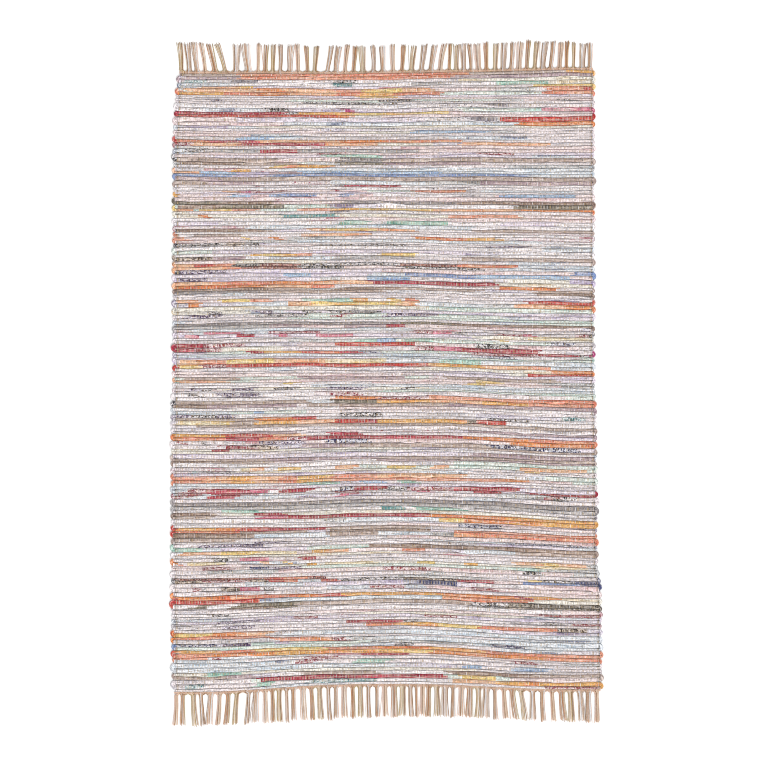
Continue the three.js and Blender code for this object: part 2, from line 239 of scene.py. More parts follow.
# The weaver's ticket. Each line is one coloured pick: how far down the rug it lies at its first
# coloured length, then what it is made of, in cm from the left selvedge. A length with no start
# goes on from the one before. The rest is pale rag.
TICKET = """
0.3: 1-18 taupe, -85 coral, -113 taupe, -123 marigold
1.2: 1.5-18 mauve, -60 salmon, -80 coral, -123 mauve
2.0: 2-9 pond
2.0: 46-53 ink
2.6: 68-79 grey
2.5: 93-108 mint
2.9: 46-52 pond
3.7: 0-1 yellow, 7-18 peach, -23 yellow
3.7: 104-123 yellow
4.6: 0-1.5 salmon, 3-25 peach, -31 orange, -47 peach, -54 salmon, -66 yellow, -75 peach
5.5: 1-14 marigold, -25 coral, -34 orange, -47 peach, -54 coral, -64 marigold, -78 coral
4.3: 107-119 salmon, -123 red
5.2: 107-123 coral
6.4: 53-64 yellow
7.7: 9-13 plum, 60-70 ink
7.7: 111-116 ink
8.7: 37-66 ink
10.1: 26-34 ink, 49-52 magenta
10.1: 115-123 pink
11.5: 0.5-33 crimson, -36 ink, -52 marigold, -80 yellow
12.4: 0-47 red, -52 orange
13.2: 96-123 red
14.1: 100-123 orange
15.0: 3-17 lilac
17.2: 70-92 sky
18.2: 20-29 sky, -38 ice
19.4: 0-1.5 red, -10 coral, -24 crimson, -48 peach, -62 orange, -84 coral
20.3: 0-1.5 red, -6 ruby, -20 peach, -44 crimson, -60 peach, 84-110 peach
21.7: 4-11 ink, -72 grey
22.2: 25-37 crimson
22.6: 0-1.5 ink, 42-50 ruby, 88-99 ruby
23.5: 44-60 mint
25.0: 0-1.5 ink, -30 taupe, 48-62 charcoal, -123 taupe
25.9: 2-20 brown, -37 taupe, 48-62 olive, -90 mauve
26.8: 29-33 yellow, -37 orange, -46 marigold
27.6: 18-24 marigold
28.6: 1-8 peach, -18 sky, -28 lilac, -37 mauve, -78 sky
29.5: 0-18 blue, -29 lilac, -104 blue
30.5: 1-14 mauve, -123 taupe
31.4: 1-10 taupe, -24 mauve, 90-123 mauve
32.9: 24-26 ruby, 50-66 crimson
33.9: 15-20 peach, -23 magenta, 24-34 ruby, 47-49 crimson, 70-86 coral
35.3: 0-2.3 marigold, 2-8 blush
35.7: 16-24 sky, 29-41 blue, 48-52 blue, 96-118 sky
37.2: 55-60 pond
37.6: 0-14 olive, -30 brown, 49-84 charcoal, -123 brown
39.0: 2-14 brown, -33 olive, 100-123 olive
39.9: 0-1.5 yellow, -6 peach, 8-17 yellow, -25 salmon, 37-46 salmon, -54 marigold, -76 yellow,\
 -101 peach, -123 orange
41.0: 8-11 orange, 80-101 salmon
41.6: 32-48 teal
44.0: 1.5-14 pale lilac, 49-57 mint, 62-80 mint, 96-112 pale lilac
45.8: 0-1.5 ink, -26 brown, -29 taupe, 40-46 peach, -58 yellow, -70 peach, 88-123 taupe
46.7: 0-1.5 salmon, 6-20 taupe, 38-58 peach
48.3: 1-4 salmon, 20-22 yellow, 29-31.5 orange, 70-86 orange, -95 marigold
49.4: 0.3-16 ink, -21 bark, -26 ink
50.3: 0.3-16 ink, -21 bark, -26 ink, 41-66 ink
50.1: 92-104 plum
51.6: 1-12 pale mint
52.7: 22-33 yellow, -37 marigold, -42 salmon, 60-72 yellow
53.4: 1-12 bark, -22 mauve, 47-70 grey, 84-123 taupe
55.5: 1-6 peach, -11 red, -18 coral, -26 ink, -37 rust, -66 ink, -84 rust, -100 coral
56.4: 1-16 peach, -20 coral, -37 rust, -50 ink, 66-90 ink
57.7: 0-2 ink, -16 plum
58.4: 33-40 sky, 68-88 blue, -116 sky
58.2: 116-123 blue
59.4: 2-10 plum, 57-69 sky
60.3: 116-123 lilac
61.1: 0-15 peach, -28 coral, -40 orange, -57 peach, -95 crimson
62.1: 0-26 orange, -40 peach, -47 coral, 95-112 orange
63.2: 0-30 brown, -40 taupe, 48-66 brown, -90 taupe, 106-123 taupe
64.1: 1.5-26 charcoal, -62 taupe, 106-123 brown
65.5: 38-52 mint
66.4: 1.5-8 peach, 14-22 yellow, -29 salmon, 52-57 marigold, 63-66 yellow, 68-71 coral
66.2: 103-123 red
67.4: 5-9 orange, 34-41 peach, -66 yellow, -72 peach
67.4: 100-115 peach, -123 orange
69.5: 9-14 ink, 24-30 plum, 38-42 ink, 45-60 ink
70.2: 62-76 plum
70.5: 4-14 plum, 26-38 ink, 48-52 ruby
73.1: 0-66 charcoal, -82 olive, -123 brown
74.0: 0-28 grey, -37 mauve, 50-62 mauve, -67 crimson, -119 blush
75.1: 10-21 pink, 28-44 ruby, 70-76 ruby, -82 pink, -86 ink
75.4: 95-106 ruby
76.0: 4-7 pink, 20-25 crimson, 31-34 pink, 42-53 pink
76.0: 102-106 pink, 118-121 ruby, -123 ink
77.1: 94-97 yellow
76.9: 104-121 cream
77.4: 54-60 mint, -66 sky, 68-76 mint
78.6: 89-99 ink
78.2: 110-117 indigo
79.5: 0-9 crimson, -22 ruby
79.0: 48-71 red
79.8: 71-76 ruby, -84 pink, -107 crimson
80.4: 0-6 crimson, -15 ruby
80.8: 86-107 ruby, -118 crimson, -121 ink, -123 magenta
81.1: 23-26 crimson, -37 marigold, -44 red, -49 orange, -55 crimson, -61 indigo
81.8: 88-100 indigo
83.6: 2-9 peach, -16 salmon, -30 yellow, -45 peach, -62 cream
83.8: 78-90 mint
84.7: 0-1.5 red, 2-8 yellow, -16 ruby, -75 red, -90 marigold, -104 peach, -110 salmon
86.5: 110-123 orange
87.5: 104-123 red
88.7: 3-20 taupe, 37-68 mauve, 80-113 taupe
89.6: 1.5-6 peach, -10 salmon, -16 peach
89.8: 33-37 yellow
89.2: 87-95 cream
90.2: 87-93 yellow
92.0: 4-9 plum, -13 ink, 17-25 plum, 30-37 ink
91.1: 45-57 plum, 68-71 ink
93.7: 5-8 ink, 14-19 plum, 20-26 plum, 46-55 ruby
93.8: 47-61 orange, -75 ruby, -104 salmon, -123 coral
94.7: 47-60 olive, -75 marigold, -90 peach, -104 marigold, -123 salmon
95.8: 0-1.5 ink, -40 taupe
96.4: 40-123 taupe
96.9: 0-11 brown, -37 mauve, 80-123 mauve
98.4: 1-17 ice, -24 pale mint, -27 sky, -40 pale mint
99.0: 0.5-6 plum, -13 ink, -18 plum, 49-62 ink
100.0: 113-120 pond
100.2: 92-104 ink
100.5: 2-25 taupe, -36 orange, -42 red
100.7: 42-48 salmon, -57 red, -60 crimson, -86 marigold, -89 bark, -98 red
101.5: 2-16 cream, -18 yellow, -25 taupe, -37 marigold, -48 peach
102.6: 8-123 taupe
104.0: 20-37 mauve, 87-123 mauve
104.8: 0-1.5 orange, -16 marigold, -30 red, -39 peach, 46-56 crimson
105.3: 39-85 crimson, -104 orange, -123 coral
105.8: 0-3 orange, -16 coral, -26 crimson, -34 coral, -39 ruby
106.9: 98-123 orange
106.9: 2-4 ruby, 9-11 ink, 26-39 plum, 44-58 indigo
108.0: 15-25 ruby, -30 bark, 40-55 mauve, -93 taupe, -119 indigo
109.5: 12-17 crimson, 87-123 taupe
110.5: 87-123 mauve
111.9: 0-28 taupe, -60 mauve, -123 taupe
112.8: 0-10 brown, -30 taupe, 60-123 mauve
115.0: 20-23 cream, -27 peach
114.5: 31-38 yellow, 48-54 peach
114.4: 63-71 yellow, 76-81 peach
114.8: 102-121 peach
116.0: 6-8 pond, -18 ink, 19-22 ink, 103-107 yellow
117.1: 0-11 salmon, -16 peach, -24 marigold, -32 peach, -38 coral, -47 yellow, -60 salmon, -86 peach
117.5: 86-97 salmon, -104 orange
118.1: 0-11 coral, -18 peach, -24 marigold, -31 peach, -37 coral, -47 marigold, -86 salmon
119.4: 1-25 ice, 39-49 mint, 56-62 sky, 67-72 mint
120.9: 4-10 ruby, -22 crimson, -30 pink, 32-41 crimson, 48-52 indigo, -62 crimson, -70 ink, -83 ruby,\
 -88 crimson
120.3: 88-101 crimson
121.1: 88-96 crimson, 104-118 ruby
121.8: 2-5 ruby, -9 crimson, 11-20 crimson, -26 ruby, 48-55 ruby, 71-76 pink
122.0: 104-123 crimson
122.7: 1-5 ruby, 12-19 crimson, 48-53 pink
123.7: 109-112 ruby, -117 ink
125.1: 0-123 charcoal
126.0: 0-123 grey
126.2: 61-68 teal, 71-86 mint
127.1: 15-27 mint
128.5: 1-13 brown, 24-33 crimson
129.4: 1-13 taupe, 26-33 pink, -75 crimson, -99 orange, -123 marigold
129.7: 79-87 yellow, -99 orange, -123 marigold
131.3: 84-97 indigo
132.0: 117-124 plum
132.4: 0-1.5 red, -12 marigold, -20 orange, -27 red, -46 crimson, -75 taupe
133.3: 82-123 salmon
133.3: 0-1.5 red, -20 coral, -40 taupe, 46-75 brown
134.3: 0-25 brown, 46-60 taupe
135.2: 0-20 taupe
134.2: 82-123 coral
136.3: 24-35 plum
137.1: 9-27 plum
136.6: 97-123 indigo
138.7: 0-9 mint, -15 ice, -40 pale lilac
138.4: 41-46 marigold, -52 peach
137.2: 57-123 brown
138.2: 68-73 coral
139.0: 100-123 taupe
139.7: 3-14 peach, -25 yellow, -37 cream
141.4: 12-18 ink, 20-28 pink, -37 pink marked, 38-43 crimson
141.5: 72-77 yellow
142.1: 85-89 marigold
142.7: 1.5-3.2 orange, 5-16 cream, 27-29 peach, 33-35 yellow
142.6: 40-43 marigold, 45-60 cream
142.4: 100-108 peach, -113 yellow, -121 peach
143.3: 106-121 cream
144.4: 9-18 ruby, 23-29 navy, -38 plum
143.2: 62-75 ruby
144.6: 102-108 ink
147.1: 0-1.5 ink, -28 rust, -32 red, -39 coral, -44 rust
146.7: 44-49 red, -68 ink, -83 bark
147.0: 83-94 crimson
148.0: 0-1.5 ink, -10 bark, -22 ruby, -28 bark, -32 red, -37 coral
147.6: 68-83 navy
147.5: 103-108 yellow, -117 ink, -124 navy
148.4: 103-119 blue, -124 navy
149.5: 6-9 ruby, -11 ink, 15-20 bark, -26 pink, 27-30 ink
149.4: 58-68 ruby
149.8: 87-95 ruby
152.2: 0-1.5 red, -16 orange, -37 coral, -44 orange, -51 red
150.9: 51-79 marigold, -100 orange, -104 crimson, -113 marigold
153.2: 0-26 red
151.9: 79-105 coral
154.8: 7-12 olive
154.5: 19-37 olive, -87 taupe, -98 ink, -125 moss
155.6: 16-30 brown, -37 olive
154.6: 87-97 ink, -110 bark, -125 moss
157.2: 108-125 ruby
157.6: 73-83 ruby
157.6: 11-17 ink
158.3: 36-43 ruby
159.8: 14-26 plum
160.7: 15-25 plum
159.0: 51-68 crimson, -72 ink
159.9: 108-114 ink, 117-124 ruby
160.2: 57-66 coral, -78 marigold, -90 yellow, -112 coral, -121 bark
163.2: 0-1.5 orange, -11 yellow, -21 orange, -29 peach
164.0: 30-43 salmon, -48 orange, -52 ruby
164.3: 0-1.5 orange, -12 coral, -30 salmon
165.4: 66-70 ink
166.4: 0-1.5 blue, -15 indigo, -24 plum, 31-36 lilac
166.2: 94-103 indigo
168.0: 1.5-14 marigold, -24 coral, -44 yellow
167.1: 44-60 salmon, -75 orange, -90 marigold
168.1: 90-109 coral, -124 salmon
168.9: 0-1.5 red, -12 salmon, -30 orange, -44 marigold
168.0: 44-60 marigold, -76 yellow, -90 orange
169.0: 90-109 orange, -125 coral
169.9: 0-10 salmon
170.2: 11-14 ruby
169.3: 40-49 ruby
168.8: 55-69 crimson
171.4: 36-43 ruby
170.9: 99-107 ruby
172.3: 3-12 ice, 54-64 mint
172.3: 85-90 sky
172.8: 99-110 sky
174.9: 10-21 mint
174.0: 80-125 brown
175.0: 106-125 taupe
175.2: 84-94 yellow
175.5: 12-24 mauve, 37-60 taupe
176.2: 2-17 taupe
176.5: 25-80 crimson
176.2: 82-94 peach, -104 marigold, -107 orange, -125 marigold
178.1: 4-9 pond, 24-30 mint, 40-60 pond
179.4: 109-125 ruby
"""


def dye(red, green, blue):
    """A colour as an eye reads it on a screen, in the linear values that a shader takes."""
    return tuple(((c / 255 + 0.055) / 1.055) ** 2.4 for c in (red, green, blue))


# Each cloth: its dye, the colour printed or faded into it, and how much of that lies in long
# blots and how much in small marks.
CLOTHS = {
    "crimson": ((168, 28, 58), (214, 84, 106), 0.32, 0.15),
    "red": ((196, 44, 46), (230, 106, 76), 0.38, 0.1),
    "coral": ((229, 129, 103), (240, 176, 130), 0.4, 0.1),
    "salmon": ((238, 166, 138), (232, 120, 90), 0.35, 0.1),
    "orange": ((233, 141, 74), (214, 80, 52), 0.35, 0.1),
    "peach": ((246, 196, 158), (238, 142, 92), 0.4, 0.1),
    "marigold": ((238, 179, 96), (229, 118, 62), 0.35, 0.1),
    "yellow": ((241, 212, 132), (238, 162, 84), 0.4, 0.1),
    "cream": ((244, 230, 196), (240, 196, 110), 0.4, 0.1),
    "pink": ((230, 138, 162), (180, 40, 88), 0.42, 0.2),
    "magenta": ((172, 54, 116), (226, 140, 170), 0.3, 0.1),
    "taupe": ((182, 160, 152), (214, 198, 190), 0.3, 0.3),
    "brown": ((142, 114, 102), (180, 154, 140), 0.35, 0.3),
    "olive": ((132, 122, 104), (80, 74, 70), 0.4, 0.3),
    "charcoal": ((138, 130, 134), (178, 172, 172), 0.35, 0.3),
    "grey": ((186, 183, 186), (142, 139, 143), 0.4, 0.2),
    "navy": ((60, 68, 118), (206, 206, 220), 0.2, 0.35),
    "blue": ((124, 149, 201), (174, 195, 226), 0.4, 0.1),
    "sky": ((176, 204, 232), (116, 152, 206), 0.35, 0.1),
    "teal": ((70, 148, 150), (204, 230, 226), 0.35, 0.2),
    "mint": ((188, 222, 208), (92, 172, 154), 0.4, 0.1),
    "lilac": ((206, 194, 222), (150, 124, 184), 0.35, 0.2),
    "mauve": ((190, 166, 174), (150, 120, 134), 0.4, 0.2),
    # printed all over with small dark marks
    "ink": ((234, 228, 232), (12, 10, 18), 0.0, 0.6),
    "plum": ((230, 220, 234), (62, 34, 84), 0.0, 0.6),
    "ruby": ((236, 212, 216), (140, 22, 50), 0.2, 0.6),
    "indigo": ((228, 228, 240), (32, 34, 84), 0.0, 0.62),
    "bark": ((212, 194, 180), (56, 32, 26), 0.3, 0.58),
    "rust": ((196, 132, 122), (96, 34, 38), 0.1, 0.57),
    "moss": ((152, 142, 130), (38, 34, 34), 0.1, 0.55),
    "pond": ((214, 224, 226), (48, 122, 128), 0.1, 0.5),
    # the pale rags
    "white": ((244, 233, 236), (204, 202, 214), 0.25, 0.0),
    "bright white": ((252, 244, 247), (222, 222, 230), 0.2, 0.0),
    "ice": ((231, 236, 243), (186, 208, 226), 0.25, 0.1),
    "pale mint": ((228, 239, 232), (164, 206, 196), 0.25, 0.15),
    "blush": ((246, 227, 228), (226, 184, 190), 0.25, 0.1),
    "pale lilac": ((238, 227, 240), (186, 170, 208), 0.25, 0.15),
    "ivory": ((243, 238, 228), (228, 204, 164), 0.2, 0.1),
    "pale grey": ((222, 214, 218), (174, 172, 180), 0.3, 0.15),
    "marked white": ((233, 226, 230), (84, 76, 92), 0.0, 0.34),
    "violet marked": ((230, 224, 236), (112, 84, 140), 0.1, 0.32),
    "blue marked": ((224, 230, 238), (76, 92, 138), 0.1, 0.3),
    "pink marked": ((236, 224, 228), (190, 80, 110), 0.1, 0.34),
    "grey marked": ((216, 216, 218), (92, 92, 98), 0.2, 0.36),
}
NAMES = list(CLOTHS)
TICKET_START = 901.5  # where the ticket's centimetres start
ROUND_LEFT, ROUND_RIGHT = 10.0, 20.0  # a length ending this near a selvedge goes on round it
PALE = ["white", "bright white", "ice", "pale mint", "blush", "pale lilac", "ivory", "pale grey"]
PALE_SHARES = [0.32, 0.2, 0.07, 0.08, 0.17, 0.07, 0.06, 0.03]
PALE_RAG = (200.0, 1100.0)  # from the shortest to the longest
TAPER = 24.0
TAPER_SWAY = 4.8
MARKED = ["marked white", "violet marked", "blue marked", "pink marked", "grey marked"]
MARKED_SHARE = 0.62
MARKED_RAG = (50.0, 300.0)


def read_ticket():
    """Coloured lengths of each pick, as (from x, to x, cloth)."""
    lengths = {pick: [] for pick in range(PICKS)}
    middles = (pick_edges[:-1] + pick_edges[1:]) / 2
    for line in TICKET.strip().splitlines():
        down, parts = line.split(":")
        spans = []
        for part in parts.split(","):
            span, cloth = part.strip().split(" ", 1)
            start, stop = span.split("-")
            start = float(start) * CM if start else spans[-1][1]
            spans.append((start, float(stop) * CM, NAMES.index(cloth)))
        mark = np.argmin(np.abs(RULER - (spans[0][0] - ALONG[1, LEFT])))
        pick = int(np.argmin(np.abs(middles[:, mark] - (TICKET_START - float(down) * CM))))
        share = (pick + 0.5) / PICKS
        left, right = -eased(ALONG, LEFT, share), eased(ALONG, RIGHT, share)
        for start, stop, cloth in spans:
            start = left + start if start > ROUND_LEFT else -math.inf
            stop = left + stop if left + stop < right - ROUND_RIGHT else math.inf
            lengths[pick].append((start, stop, cloth))
    return lengths


def pale_rags(total):
    """Pale rags laid end to end down the whole weft: the distance each ends at, and its cloth."""
    ends, cloths, reached = [], [], 0.0
    while reached < total:
        if rng.random() < MARKED_SHARE:
            reached += rng.uniform(*MARKED_RAG)
            ends.append(reached)
            cloths.append(NAMES.index(rng.choice(MARKED)))
        reached += rng.uniform(*PALE_RAG)
        ends.append(reached)
        cloths.append(NAMES.index(rng.choice(PALE, p=PALE_SHARES)))
    return np.array(ends), np.array(cloths)


def dressed(run, coloured, distance, pale):
    """The cloth of each face of a run: rags end in slanting tapers, so it differs round them."""
    across = np.append(RAG_PROFILE[:, 0], RAG_PROFILE[0, 0])
    slant = rng.uniform(-TAPER, TAPER) * (across[:-1] + across[1:]) / 2
    slant = slant + rng.uniform(-TAPER_SWAY, TAPER_SWAY, SIDES)
    middle = (run[:-1, None, 0] + run[1:, None, 0]) / 2 + slant
    cloth = pale[1][np.searchsorted(pale[0], np.maximum(distance[:, None] + slant, 0))]
    for start, stop, name in coloured:
        cloth = np.where((middle > start) & (middle < stop), name, cloth)
    return cloth


def rag_path(first_pick, last_pick):
    """Stations of the rag through a stretch of picks, with the cloth of each length."""
    stations, cloths = [], []
    for pick in range(first_pick, last_pick):
        run, cloth = runs[pick], run_cloths[pick]
        stations.append(run)
        cloths.append(cloth)
        if pick + 1 < PICKS:
            turn = turn_run(run[-1], runs[pick + 1][0])
            before, after = cloth[-1, TOP_SIDE], run_cloths[pick + 1][0, TOP_SIDE]
            turned = after if NAMES[before] in PALE else before
            stations.append(turn)
            cloths.append(np.full((TURN_STATIONS + 1, SIDES), turned))
    path = np.concatenate(stations)
    return path, np.concatenate(cloths)[: len(path) - 1]


def swept(paths, aside, high):
    """Rings across paths of shape (paths, stations, 3 or more), reaching aside and high."""
    heading = np.gradient(paths[..., :2], axis=1)
    heading /= np.linalg.norm(heading, axis=2)[..., None]
    rings = np.empty((*paths.shape[:2], aside.shape[-1], 3))
    rings[..., 0] = paths[..., :1] - heading[..., 1:] * aside
    rings[..., 1] = paths[..., 1:2] + heading[..., :1] * aside
    rings[..., 2] = high
    return rings


def rag_rings(path, slow):
    """The folded rag's outline at each station of its path, and how deep in shade it lies."""
    across, high, hollow = (column * np.ones((len(path), 1)) for column in RAG_PROFILE.T)
    across[:, CREASE_LIPS] += (CREASE_SWAY * slow[0])[:, None]
    depth = np.clip(CREASE_DEPTH * (1 + slow[1]), 0.0, CREASE_DEEPEST)
    high[:, CREASE] -= depth
    hollow[:, CREASE] = np.clip(depth * CREASE_SHADE, 0, CREASE_DARKEST)
    for sides, way in SHOULDERS:
        high[:, sides] += way * SHOULDER_SWAY * slow[2][:, None]
    for sides, wave in zip(FOOT_SIDES, slow[3:5]):
        hollow[:, sides] *= np.clip(FOOT_SHADE + FOOT_SHADE_SWAY * wave, *FOOT_SHADE_RANGE)[:, None]
    return swept(path[None], across * path[:, 2:3], high * path[:, 3:4]), hollow


def tubes(rings):
    """Points and faces of closed tubes from rings of shape (tubes, stations, sides, 3)."""
    count, stations, sides, _ = rings.shape
    index = np.arange(count * stations * sides).reshape(count, stations, sides)
    after = np.roll(index, -1, axis=2)
    walls = np.stack([index[:, :-1], after[:, :-1], after[:, 1:], index[:, 1:]], axis=-1)
    caps = np.concatenate([index[:, 0, ::-1], index[:, -1]])
    return rings.reshape(-1, 3), [walls.reshape(-1, 4), caps]


def mesh_piece(name, points, faces, finish):
    """A piece of the rug, from points in millimetres and arrays of faces."""
    mesh = bpy.data.meshes.new(name)
    corners = np.concatenate([group.ravel() for group in faces]).astype(np.int32)
    sizes = np.concatenate([np.full(len(group), group.shape[1]) for group in faces])
    starts = (np.cumsum(sizes) - sizes).astype(np.int32)
    mesh.vertices.add(len(points))
    mesh.vertices.foreach_set("co", (points * MM).astype(np.float32).ravel())
    mesh.loops.add(len(corners))
    mesh.loops.foreach_set("vertex_index", corners)
    mesh.polygons.add(len(sizes))
    mesh.polygons.foreach_set("loop_start", starts)
    mesh.update(calc_edges=True)
    mesh.shade_smooth()
    mesh.materials.append(finish)
    piece = bpy.data.objects.new(name, mesh)
    bpy.context.collection.objects.link(piece)
    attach(piece, "root")
    return piece


def note(piece, name, kind, domain, values):
    """Writes down on a mesh what its finish reads there, a colour with 1 for its fourth value."""
    if kind == "FLOAT_COLOR" and values.shape[1] == 3:
        values = np.column_stack([values, np.ones(len(values))])
    layer = piece.data.attributes.new(name, kind, domain)
    field = {"FLOAT_COLOR": "color", "FLOAT": "value"}.get(kind, "vector")
    layer.data.foreach_set(field, np.asarray(values, dtype=np.float32).ravel())


def sum_of(operation, swapped=False):
    """What a wire does when it is added to, multiplied or compared."""

    def work(wire, *others):
        terms = (*others, wire) if swapped else (wire, *others)
        return wire.recipe.maths(operation, *terms)

    return work


class Wire:
    """One socket of a finish, which sums like a number."""

    def __init__(self, recipe, socket):
        self.recipe = recipe
        self.socket = socket

    __add__ = __radd__ = sum_of("ADD")
    __sub__ = sum_of("SUBTRACT")
    __rsub__ = sum_of("SUBTRACT", swapped=True)
    __mul__ = sum_of("MULTIPLY")
    __truediv__ = sum_of("DIVIDE")
    __gt__ = sum_of("GREATER_THAN")
    __lt__ = sum_of("LESS_THAN")
    __abs__ = sum_of("ABSOLUTE")


class Recipe:
    """A finish: one material's nodes, which end in its shader."""

    def __init__(self, name, **constants):
        self.material = bpy.data.materials.new(name)
        self.material.use_nodes = True
        self.tree = self.material.node_tree
        self.shader = self.tree.nodes["Principled BSDF"]
        for socket, value in constants.items():
            self.shader.inputs[socket.replace("_", " ")].default_value = value

    def add(self, kind, settings, sockets, output=0):
        node = self.tree.nodes.new("ShaderNode" + kind)
        for setting, value in settings.items():
            setattr(node, setting, value)
        for socket, value in sockets.items():
            if isinstance(value, Wire):
                self.tree.links.new(value.socket, node.inputs[socket])
            else:
                node.inputs[socket].default_value = value
        return Wire(self, node.outputs[output])

    def maths(self, operation, *terms, clamp=False):
        settings = {"operation": operation, "use_clamp": clamp}
        return self.add("Math", settings, dict(enumerate(terms)))

    def apart(self, vector):
        """The first two numbers of a vector."""
        first = self.add("SeparateXYZ", {}, {0: vector})
        return first, Wire(self, first.socket.node.outputs[1])

    def feed(self, socket, wire):
        self.tree.links.new(wire.socket, self.shader.inputs[socket])

    def read(self, name, output="Color"):
        return self.add("Attribute", {"attribute_name": name}, {}, output)

    def mixed(self, share, first, second, blend="MIX"):
        settings = {"data_type": "RGBA", "blend_type": blend}
        return self.add("Mix", settings, {0: share, 6: first, 7: second}, 2)

    def noise(self, place, scale, detail=2.0, rough=0.5, curl=0.0):
        sockets = {"Vector": place, "Scale": scale, "Detail": detail, "Roughness": rough}
        return self.add("TexNoise", {}, {**sockets, "Distortion": curl})

    def vector(self, x, y, z=0.0):
        return self.add("CombineXYZ", {}, {0: x, 1: y, 2: z})

    def above(self, value, floor, ramp):
        """0 under a floor, and 1 once the value is a ramp's width over it."""
        return self.maths("MULTIPLY", value - floor, 1 / ramp, clamp=True)


# What washing and wear do to the cloth, the near-black shade painted into its hollows and folds, and
# the painted light and shade of its puckers.
# the near-black colour of the shade painted into the rag's hollows, folds and outer-yarn lines
PAINTED_SHADE = (0.04, 0.035, 0.037, 1.0)
WORN_DYE = (*dye(240, 228, 220), 1.0)
CROSSED_DYE = (*dye(196, 168, 138), 1.0)
WORN_MOST = 0.47
BLOT_MOST = 0.8
DARKEST, LIGHTEST = 0.25, 1.16
FOLD_SHADE = 0.45
FOLD_PLACES = (10.4, 20.6)  # millimetres round the rag
FOLD_WANDER = 4.6
CROSSED_WIDTH = 0.145
CROSSED_HEIGHT = 0.0016  # metres over the floor
THREADS_A_METRE = 1400.0


def rag_finish():
    """Washed cotton: dyed cloth with its print and worn streaks, with painted shade in its folds and
    between the picks.
    """
    recipe = Recipe("Rag cotton", Roughness=0.9, Sheen_Weight=0.12, Sheen_Roughness=0.6)
    count, girth = recipe.apart(recipe.add("UVMap", {"uv_map": "Rag"}, {}))
    place = recipe.add("TexCoord", {}, {}, "Object")
    high = recipe.add("SeparateXYZ", {}, {0: place}, 2)
    hollow = recipe.read("Hollow", "Fac")
    cloth, blots = recipe.read("Cloth"), recipe.read("Cloth", "Alpha")
    print_dye, marks = recipe.read("Print"), recipe.read("Print", "Alpha")
    in_pick = recipe.maths("MODULO", count, float(ENDS_A_PICK))
    within = (in_pick > END_OFFSET - 0.5) * (in_pick < END_OFFSET + ENDS - 0.5)

    def cloudy(along, around, start=0.0, detail=2.0, rough=0.5, curl=0.0):
        """Clouds on the rag, so many a warp yarn along it and so many a millimetre round it."""
        lay = recipe.vector(count * along, girth * around + start)
        return recipe.noise(lay, 1.0, detail, rough, curl)

    # a cloth's colour, with its long blots, its small marks and its worn streaks
    fade = cloudy(0.05, 0.2)
    streak = cloudy(0.022, 0.42, 20.0, rough=0.55)
    pucker = cloudy(0.13, 0.22, 40.0)
    mottle = cloudy(0.4, 0.4, 80.0)
    blot_field = cloudy(0.08, 0.3, detail=3.0, rough=0.6)
    mark_field = cloudy(0.27, 0.28, rough=0.6, curl=1.0) + (fade - 0.5) * 0.3
    blot = recipe.above(blot_field, 0.78 - blots * 0.62, 0.1) * (blots > 0.01)
    mark = recipe.above(mark_field, 0.8 - marks * 0.5, 0.03) * (marks > 0.01)
    worn = recipe.above(streak + (pucker - 0.5) * 0.5, 0.5, 0.16)
    # painted light and shade: the cloth is darkened and lightened in random clouds, partly for the
    # shade and light of its puckers and bunched folds, partly as uneven tone of the cloth
    tone = streak * 0.7 + pucker * 1.7 + mottle * 2.1 - 1.28
    tone = recipe.add("Clamp", {}, {0: tone, 1: DARKEST, 2: LIGHTEST})
    colour = recipe.mixed(blot * BLOT_MOST, cloth, print_dye)
    colour = recipe.mixed(worn * WORN_MOST, colour, WORN_DYE)
    colour = recipe.mixed(mark, colour, print_dye)
    colour = recipe.mixed(1.0, colour, recipe.vector(tone, tone, tone), "MULTIPLY")

    # painted shade: thin dark fold lines along the rag, and shade painted into its hollows and where
    # the outer yarns draw it in
    drift = cloudy(0.03, 0.0, detail=1.0) * FOLD_WANDER
    near_gap = abs(girth - (FOLD_PLACES[0] + drift)) + (0.5 - fade) * 3.0
    far_gap = abs(girth - (FOLD_PLACES[1] - drift)) + (fade - 0.44) * 3.0
    fold = 1.0 - recipe.above(recipe.maths("MINIMUM", near_gap, far_gap), 0.2, 0.4)
    left_gap, right_gap = abs(in_pick - (END_OFFSET - 1.0)), abs(in_pick - (END_OFFSET + ENDS))
    bound = 1.0 - recipe.above(recipe.maths("MINIMUM", left_gap, right_gap), 0.3, 1.0)
    shade = hollow * (0.05 + within * 0.9) * (0.1 + pucker * 1.7)
    shade = recipe.maths("MAXIMUM", shade, fold * FOLD_SHADE)
    shade = recipe.maths("MAXIMUM", shade, bound * FOLD_SHADE)
    # painted shade: the colour is mixed towards near-black in the hollows, the fold lines and by the
    # outer yarns
    colour = recipe.mixed(shade, colour, PAINTED_SHADE)

    # yarns that cross under the rug
    beat = abs(recipe.maths("FRACT", count / 2.0) - 0.5)
    yarn = (beat < CROSSED_WIDTH) * (high < CROSSED_HEIGHT) * within
    recipe.feed("Base Color", recipe.mixed(yarn, colour, CROSSED_DYE))

    # the rag swells between the yarns over it, and is crumpled
    swell = abs(recipe.maths("SINE", count * (math.pi / 2))) * within
    crumple = cloudy(0.4, 0.8, detail=4.0, rough=0.65)
    thread = recipe.noise(place, THREADS_A_METRE, 1.0)
    relief = swell * 0.45 + crumple * 1.8 + thread * 0.07 - fold * 0.3 + yarn * 0.4
    bump = recipe.add("Bump", {}, {"Strength": 1.0, "Distance": MM, "Height": relief})
    recipe.feed("Normal", bump)
    return recipe.material


